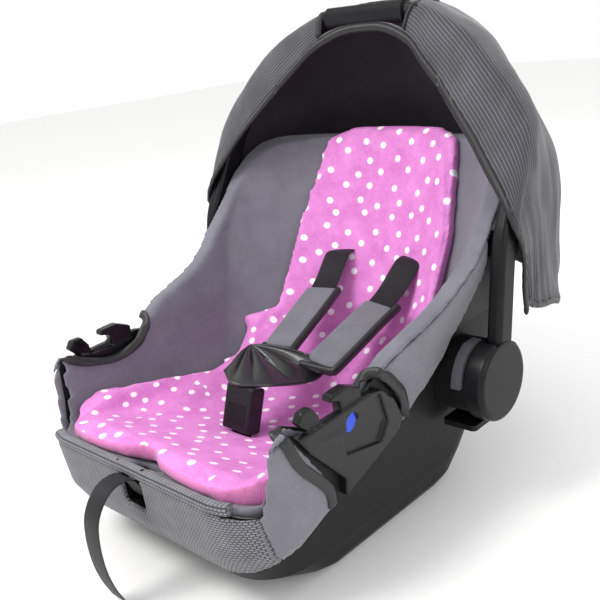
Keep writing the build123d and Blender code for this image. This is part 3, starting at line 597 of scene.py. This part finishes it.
bpy.context.view_layer.update()
for side, route in (("right", NOTCH_TAPE), ("left", mirrored(NOTCH_TAPE))):
    tape = hugging("notch_tape_" + side, route, [inner, outer], 11 * MM, 3.4 * MM)
    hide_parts("cover_binding_" + side)


def lip_fold():
    # the front cloth is turned over the shell's lip in one soft roll
    rim = []
    for k in range(-15, 16):
        spot = apron.closest_point_on_mesh(at(k * 10.6, -300, 118))[1]
        place = datum(spot)
        rim.append((place.x, place.y + 5.5, 128.5))
    return piping("lip_fold", rim, 7.0, MESH, "seat", 4, 0.8)


lip_fold()

# ---------------------------------------------------------------- liner
LINER_LINE = [(-250, 118), (-150, 92), (-60, 84), (30, 100), (90, 150), (120, 210), (160, 290), (215, 395)]


def liner_place(point):
    # unrolls a point of the liner: across, and along the line from feet to head
    p = datum(point)
    best = None
    run = 0.0
    for (y0, z0), (y1, z1) in zip(LINER_LINE, LINER_LINE[1:]):
        span = math.hypot(y1 - y0, z1 - z0)
        t = max(0.0, min(1.0, ((p.y - y0) * (y1 - y0) + (p.z - z0) * (z1 - z0)) / span ** 2))
        gap = math.hypot(p.y - y0 - t * (y1 - y0), p.z - z0 - t * (z1 - z0))
        if best is None or gap < best[0]:
            best = (gap, run + t * span, t)
        run += span
    climb = max(0.0, best[0] - 22) if abs(p.x) > 100 else 0.0
    return (math.copysign(abs(p.x) + climb, p.x) * MM, best[1] * MM, 0)


def stuffed(piece, pressure, cap_mm, frames=18):
    # swells a closed skin like a filled pad, with each point's travel capped
    start = [v.co.copy() for v in piece.data.vertices]
    take(piece)
    cloth = piece.modifiers.new("cloth", "CLOTH")
    cloth.settings.quality = 4
    cloth.settings.mass = 0.25
    cloth.settings.tension_stiffness = 18
    cloth.settings.compression_stiffness = 12
    cloth.settings.bending_stiffness = 0.8
    cloth.settings.use_pressure = True
    cloth.settings.uniform_pressure_force = pressure
    cloth.settings.effector_weights.gravity = 0
    cloth.collision_settings.use_collision = False
    cloth.point_cache.frame_start = 1
    cloth.point_cache.frame_end = frames
    for number in range(1, frames + 1):
        bpy.context.scene.frame_set(number)
    bpy.ops.object.modifier_apply(modifier=cloth.name)
    bpy.context.scene.frame_set(1)
    cap = cap_mm * MM
    for vertex, origin in zip(piece.data.vertices, start):
        move = vertex.co - origin
        if move.length > cap:
            vertex.co = origin + move * (cap / move.length)


liner = copy_of("liner_cushion", ["liner_pad"])
settle(liner, "REMESH", mode="VOXEL", voxel_size=4.6 * MM, use_smooth_shade=True)
settle(liner, "SMOOTH", factor=0.5, iterations=5)
stuffed(liner, 3.0, 4.0)
settle(liner, "SUBSURF", levels=1, render_levels=1)
set_cloth(liner, [liner_place(v.co) for v in liner.data.vertices])
dress(liner, PLUSH, "seat")
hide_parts("liner_pad")



def boxing(piece):
    # the cushion's plain side band: faces that turn away from its upper side, in a deeper rose that is
    # painted shade
    piece.data.materials.append(PLUSH_SIDE_BAND_SHADE)
    for face in piece.data.polygons:
        spot = datum(face.center)
        beside = Vector((0, spot.y, spot.z))
        gaps = []
        for (y0, z0), (y1, z1) in zip(LINER_LINE, LINER_LINE[1:]):
            mid = Vector((0, (y0 + y1) / 2, (z0 + z1) / 2))
            gaps.append(((beside - mid).length, Vector((0, z0 - z1, y1 - y0)).normalized()))
        up = min(gaps, key=lambda gap: gap[0])[1]
        if face.normal.dot(up) < 0.35 and abs(face.normal.x) < 0.9 and spot.y < -150:
            face.material_index = 1


boxing(liner)

# ---------------------------------------------------------------- harness

# the right shoulder strap, from behind the shell through its slot and down to the joiner
STRAP_ROUTE = [
    (56, 230, 236), (56, 190, 236), (56, 152, 236), (55, 138, 229), (51, 112, 206), (46, 80, 188),
    (40, 35, 170), (35, 0, 157), (30, -20, 153),
]
PAD_ROUTE = [(49, 102, 198), (45, 76, 188), (40, 36, 172), (35, 0, 158)]
WEB_WIDTH = 38 * MM
PAD_SLIP = 9                  # how much further down its strap the right pad lies


def shoulder(sign, side):
    line = route_curve([at(sign * x, y, z) for x, y, z in STRAP_ROUTE], 8)
    strap = ribbon("shoulder_web_" + side, line, Vector((1, 0, 0)), WEB_WIDTH, 2 * MM)
    dress(strap, WEB, "seat")
    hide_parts("shoulder_strap_" + side)
    slip = -PAD_SLIP if sign > 0 else 0
    pad_line = route_curve([at(sign * x, y + slip, z + slip / 2) for x, y, z in PAD_ROUTE], 10)
    pad = ribbon("shoulder_cushion_" + side, pad_line, Vector((1, 0, 0)), 50 * MM, 12 * MM, 2 * MM)
    settle(pad, "SUBSURF", levels=1, render_levels=1)
    dress(pad, PAD_GREY, "seat")
    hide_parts("shoulder_pad_" + side)
    trim = []
    for step, (y, z) in enumerate([(104, 199), (76, 188), (36, 172), (0, 158), (-4, 156)]):
        trim.append((sign * (49.5 - 3.9 * step) + 24.5, y + slip, z + 1 + slip / 2))
    low = trim[-1]
    trim += [(low[0] - run, low[1] + drop, low[2]) for run, drop in ((6, -2), (42, -2), (48, 2))]
    piping("pad_binding_" + side, trim, 4.2, TAPE, "seat", 10, 1.35)


shoulder(1, "right")
shoulder(-1, "left")


def joiner():
    # pleated satin fan: five folds spread from its apex to the far edge
    apex = at(-46, -34, 168)
    far = route_curve([at(-32, -92, 163), at(-4, -104, 158), at(22, -80, 152), at(40, -24, 140),
                       at(36, 4, 150), at(10, -6, 160)], 16)
    rows = 24
    folds = 6
    points = []
    places = []
    for i, end in enumerate(far):
        share = i / (len(far) - 1)
        for j in range(rows + 1):
            t = j / rows
            fold = abs(math.sin(math.pi * folds * share)) ** 0.7
            lift = (1.5 + 7.0 * fold * math.sin(math.pi * min(1.0, 0.12 + t * 0.9))) * MM
            points.append(apex.lerp(end, t) + Vector((0, -0.1, 1)) * lift)
            places.append((share * 0.1, t * 0.09, 0))
    faces = []
    for i in range(len(far) - 1):
        for j in range(rows):
            a = i * (rows + 1) + j
            faces.append((a, a + 1, a + rows + 2, a + rows + 1))
    piece = from_points("joiner_fan", points, faces)
    set_cloth(piece, places)
    settle(piece, "SOLIDIFY", thickness=2.4 * MM, offset=0)
    dress(face_out(piece), SATIN, "seat")
    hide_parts("strap_joiner")


joiner()

SIDEWAYS = Vector((1, 0, 0))


def middle_line(places):
    # a smooth line in the seat's middle plane
    return route_curve([at(0, y, z) for y, z in places], 8)


CROTCH = [(-104, 40), (-105, 76), (-106, 106)]
crotch = ribbon("crotch_web", middle_line(CROTCH), SIDEWAYS, 32 * MM, 2 * MM)
dress(crotch, WEB, "seat")
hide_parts("crotch_strap")

TAIL = [(-220, 92), (-240, 94), (-256, 123), (-272, 127.5), (-288, 121), (-301, 103), (-305, 80), (-304, 52),
        (-299, 28), (-291, 7)]
tail = ribbon("adjuster_web", middle_line(TAIL), SIDEWAYS, 25 * MM, 1.8 * MM)
dress(tail, WEB, "seat")
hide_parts("adjuster_tail")

REAR = [(264, 224), (264, 202), (246, 182), (228, 165), (208, 152), (194, 150)]
rear = ribbon("rear_web", middle_line(REAR), SIDEWAYS, 25 * MM, 1.8 * MM)
dress(rear, WEB, "seat")
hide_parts("rear_webbing")

# ---------------------------------------------------------------- canopy
TOP_R = 371.0
# sections of the hood: angle back from upright about the hinge, then its half-outline
# as (half-width, distance from the hinge)
RIBS = [
    (15.5, [(229, 90), (230, 160), (229, 238), (215, TOP_R - 90), (154, TOP_R - 24), (108, TOP_R + 5),
            (62, TOP_R + 21), (0, TOP_R + 26)]),
    (20.0, [(229, 90), (231, 160), (229, 240), (215, TOP_R - 85), (154, TOP_R - 13), (108, TOP_R + 15),
            (60, TOP_R + 34), (0, TOP_R + 37)]),
    (28.5, [(228, 90), (229, 171), (216, 256), (186, TOP_R - 73), (146, TOP_R - 19), (110, TOP_R + 16),
            (50, TOP_R + 48), (0, TOP_R + 53)]),
    (40.0, [(227, 90), (226, 150), (215, 240), (180, 300), (143, 330), (92, 356), (46, 368), (0, TOP_R + 1)]),
    (52.0, [(225, 90), (224, 140), (208, 215), (182, 256), (144, 286), (92, 310), (46, 318), (0, 320)]),
    (66.0, [(222, 90), (221, 130), (208, 186), (186, 218), (150, 246), (98, 266), (48, 274), (0, 277)]),
    (79.0, [(219, 90), (217, 130), (206, 176), (184, 206), (148, 232), (98, 252), (48, 260), (0, 262)]),
]
# the hood's front hem: behind the arm at its foot, then round the outside of the arm and in front of the bow
FRONT_HEM = [
    (229, 112, 206), (229, 108, 235), (231, 106, 262), (232, 98, 287), (230, 86, 308), (216, 88, 334),
    (194, 96, 362), (172, 106, 389), (146, 118, 416), (122, 130, 440), (94, 141, 465), (70, 152, 486),
    (34, 160, 501), (0, 162, 504),
]
HALF = 70                     # columns from one side to the top
ROWS = 84


def evenly(line):
    # the same number of evenly spaced points along any line, and the line's length
    lengths = [0.0]
    for a, b in zip(line, line[1:]):
        lengths.append(lengths[-1] + (b - a).length)
    samples = []
    spot = 0
    for k in range(2 * HALF + 1):
        goal = lengths[-1] * k / (2 * HALF)
        while spot < len(line) - 2 and lengths[spot + 1] < goal:
            spot += 1
        t = (goal - lengths[spot]) / (lengths[spot + 1] - lengths[spot])
        samples.append(line[spot].lerp(line[spot + 1], t))
    return samples, lengths[-1]


def hem_height(y):
    # the sides' lower hem runs up towards the front in a straight line
    return 214 - (y - 108) * 37 / 118


def rib_samples(angle, half):
    # one bow, from the lower hem on one side over the top to the other
    turn = math.radians(angle)
    mirror = [Vector((-x, r, 0)) for x, r in half[-2::-1]]
    line = route_curve([Vector((x, r, 0)) for x, r in half] + mirror, 20)
    kept = [p for p in line if HUB_Z + p.y * math.cos(turn) >= hem_height(HUB_Y + p.y * math.sin(turn))]
    return evenly(kept)


SAMPLED = [(angle, *rib_samples(angle, half)) for angle, half in RIBS]
HEM_ROUTE = FRONT_HEM + mirrored(FRONT_HEM[-2::-1])
HEM_LINE = evenly(route_curve([Vector(p) for p in HEM_ROUTE], 16))[0]


def canopy_at(column, angle):
    # smooth in both directions: (half-width, distance) at this column, turned back by angle
    spots = [s[0] for s in SAMPLED]
    i = max(0, min(len(spots) - 2, sum(1 for a in spots if a <= angle) - 1))
    t = (angle - spots[i]) / (spots[i + 1] - spots[i])
    b, c = SAMPLED[i][1][column], SAMPLED[i + 1][1][column]
    a = SAMPLED[max(0, i - 1)][1][column]
    d = SAMPLED[min(len(spots) - 1, i + 2)][1][column]
    mb = (c - a) / (spots[i + 1] - spots[max(0, i - 1)]) * (spots[i + 1] - spots[i])
    mc = (d - b) / (spots[min(len(spots) - 1, i + 2)] - spots[i]) * (spots[i + 1] - spots[i])
    p = ((2 * t ** 3 - 3 * t ** 2 + 1) * b + (t ** 3 - 2 * t ** 2 + t) * mb + (-2 * t ** 3 + 3 * t ** 2) * c
         + (t ** 3 - t ** 2) * mc)
    turn = math.radians(angle)
    return at(p.x, HUB_Y + p.y * math.sin(turn), HUB_Z + p.y * math.cos(turn))


BACK_ANGLE = RIBS[-1][0]
BRIM_ROWS = 12                # rows in the front brim, which wraps over the handle's bow
BROW = 2.0                    # how far behind the hem the brim ends, in degrees
HUB = at(0, HUB_Y, HUB_Z)


def hem_angle(column):
    spot = HEM_LINE[column]
    return math.degrees(math.atan2(spot.y - HUB_Y, spot.z - HUB_Z))


def brim_end(column):
    return max(RIBS[0][0] + 0.5, hem_angle(column) + BROW)


def canopy_point(column, row):
    # row 0 is the front hem; the brim's rows follow, and then the hood's own
    start = brim_end(column)
    if row >= BRIM_ROWS:
        return canopy_at(column, start + (BACK_ANGLE - start) * (row - BRIM_ROWS) / (ROWS - BRIM_ROWS))
    t = row / BRIM_ROWS
    hem = at(*HEM_LINE[column])
    brow = canopy_at(column, start)
    lead = brow - (canopy_at(column, start + 3) - brow) * 0.8
    return hem * (1 - t) ** 2 + lead * 2 * t * (1 - t) + brow * t * t


def canopy_normal(column, row):
    side = canopy_point(min(column + 1, 2 * HALF), row) - canopy_point(max(column - 1, 0), row)
    step = canopy_point(column, min(row + 1, ROWS)) - canopy_point(column, max(row - 1, 0))
    out = side.cross(step)
    out = out.normalized() if out.length > 0 else Vector((0, 0, 1))
    return -out if out.dot(canopy_point(column, row) - HUB) < 0 else out


def creases(column, row, run):
    # gathers along the front hem and the lower edge, and slack between the bows, in millimetres
    arc = SAMPLED[1][2] * column / (2 * HALF)
    foot = min(arc, SAMPLED[1][2] - arc)
    seed = noise.noise(Vector((arc / 38, run / 60, 3.1)))
    gather = 1.3 * math.exp(-run / 18) * math.sin(arc / 8.5 * math.pi + 2.2 * seed)
    side = 2.2 * math.exp(-foot / 34) * math.sin(run / 11.0 * math.pi + 3 * seed)
    slack = 2.2 * noise.noise(Vector((arc / 70, run / 34, 8.7)))
    slack += 0.8 * noise.noise(Vector((arc / 22, run / 14, 1.3)))
    near_tape = min(1.0, run / 12) * min(1.0, foot / 6 + 0.25)
    return (gather + slack) * near_tape + side * min(1.0, run / 12)


def canopy_sheet():
    points = []
    places = []
    window = []
    for column in range(2 * HALF + 1):
        run = 0.0
        last = None
        for row in range(ROWS + 1):
            point = canopy_point(column, row)
            run += (point - last).length / MM if last else 0.0
            last = point
            points.append(point + canopy_normal(column, row) * creases(column, row, run) * MM)
            places.append((SAMPLED[1][2] * column / (2 * HALF) * MM, run * MM, 0))
            seat = datum(point)
            window.append(abs(seat.x) < WINDOW_HALF and seat.y < WINDOW_BACK and run > 7)
    faces = []
    for column in range(2 * HALF):
        for row in range(ROWS):
            a = column * (ROWS + 1) + row
            corners = (a, a + 1, a + ROWS + 2, a + ROWS + 1)
            if not all(window[c] for c in corners):
                faces.append(corners)
    piece = from_points("canopy_cloth", points, faces)
    set_cloth(piece, places)
    work = bmesh.new()
    work.from_mesh(piece.data)
    bmesh.ops.delete(work, geom=[v for v in work.verts if not v.link_faces], context="VERTS")
    work.to_mesh(piece.data)
    work.free()
    face_out(piece)
    dress(piece, CANOPY, None)
    # the inside faces of the thickened cloth get the darker painted-shade cloth
    piece.data.materials.append(CANOPY_INSIDE_SHADE)
    settle(piece, "SOLIDIFY", thickness=1.2 * MM, offset=0, material_offset=1)
    return piece


WINDOW_HALF = 64.0
WINDOW_BACK = 219.0


def edging(name, edge_points, inward, outward, width_mm):
    # folded tape over a cloth edge: both faces and the fold
    section = [(width_mm, 1.5), (width_mm * 0.5, 2.2), (0.0, 1.6), (-1.6, 0.0), (0.0, -2.2),
               (width_mm * 0.5, -2.8), (width_mm, -2.2)]
    points = []
    places = []
    run = 0.0
    for i, (point, into, out) in enumerate(zip(edge_points, inward, outward)):
        if i:
            run += (point - edge_points[i - 1]).length
        pucker = 0.35 * math.sin(run / (6 * MM) * math.pi)
        for depth, lift in section:
            points.append(point + into * depth * MM + out * (lift + pucker) * MM)
            places.append((depth * MM, run, 0))
    count = len(section)
    faces = []
    for i in range(len(edge_points) - 1):
        n = i + 1
        for j in range(count):
            k = (j + 1) % count
            faces.append((i * count + j, i * count + k, n * count + k, n * count + j))
    faces.append(tuple(range(count - 1, -1, -1)))
    faces.append(tuple((len(edge_points) - 1) * count + j for j in range(count)))
    piece = from_points(name, points, faces)
    set_cloth(piece, places)
    return dress(face_out(piece), TAPE, None)


def front_edging():
    spots, into, out = [], [], []
    for column in range(2 * HALF + 1):
        point = canopy_point(column, 0)
        spots.append(point)
        into.append((canopy_point(column, 2) - point).normalized())
        out.append(canopy_normal(column, 0))
    return edging("canopy_front_tape", spots, into, out, 9.0)


def foot_edging(name, column, inner):
    spots, into, out = [], [], []
    for row in range(ROWS + 1):
        point = canopy_point(column, row)
        spots.append(point)
        into.append((canopy_point(inner, row) - point).normalized())
        out.append(canopy_normal(column, row))
    return edging(name, spots, into, out, 7.0)


def window_edging():
    # follows the cloth round the two ends and the back of the hand window
    reach = [k for k in range(2 * HALF + 1) if abs(datum(canopy_point(k, BRIM_ROWS)).x) <= WINDOW_HALF + 2]
    first, last = reach[0], reach[-1]

    def back_row(column):
        return max(row for row in range(ROWS) if datum(canopy_point(column, row)).y < WINDOW_BACK + 1)

    cells = [(first, row) for row in range(2, back_row(first))]
    cells += [(column, back_row(column)) for column in reach]
    cells += [(last, row) for row in range(back_row(last) - 1, 1, -1)]
    spots = [canopy_point(*cell) for cell in cells]
    middle = canopy_point(HALF, 16)
    into = [(spot - middle).normalized() for spot in spots]
    out = [canopy_normal(*cell) for cell in cells]
    return edging("canopy_window_tape", spots, into, out, 6.0)


sheet = canopy_sheet()
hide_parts("canopy_hood", "canopy_skirt")
tapes = [front_edging(), foot_edging("canopy_foot_tape_right", 0, 1),
         foot_edging("canopy_foot_tape_left", 2 * HALF, 2 * HALF - 1), window_edging()]
for piece in [sheet] + tapes:
    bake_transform(piece)

# ---------------------------------------------------------------- floor
floor = from_points("floor", [(-6, -6, 0), (6, -6, 0), (6, 6, 0), (-6, 6, 0)], [(0, 1, 2, 3)])
floor.data.materials.append(pale_floor("studio_paper"))
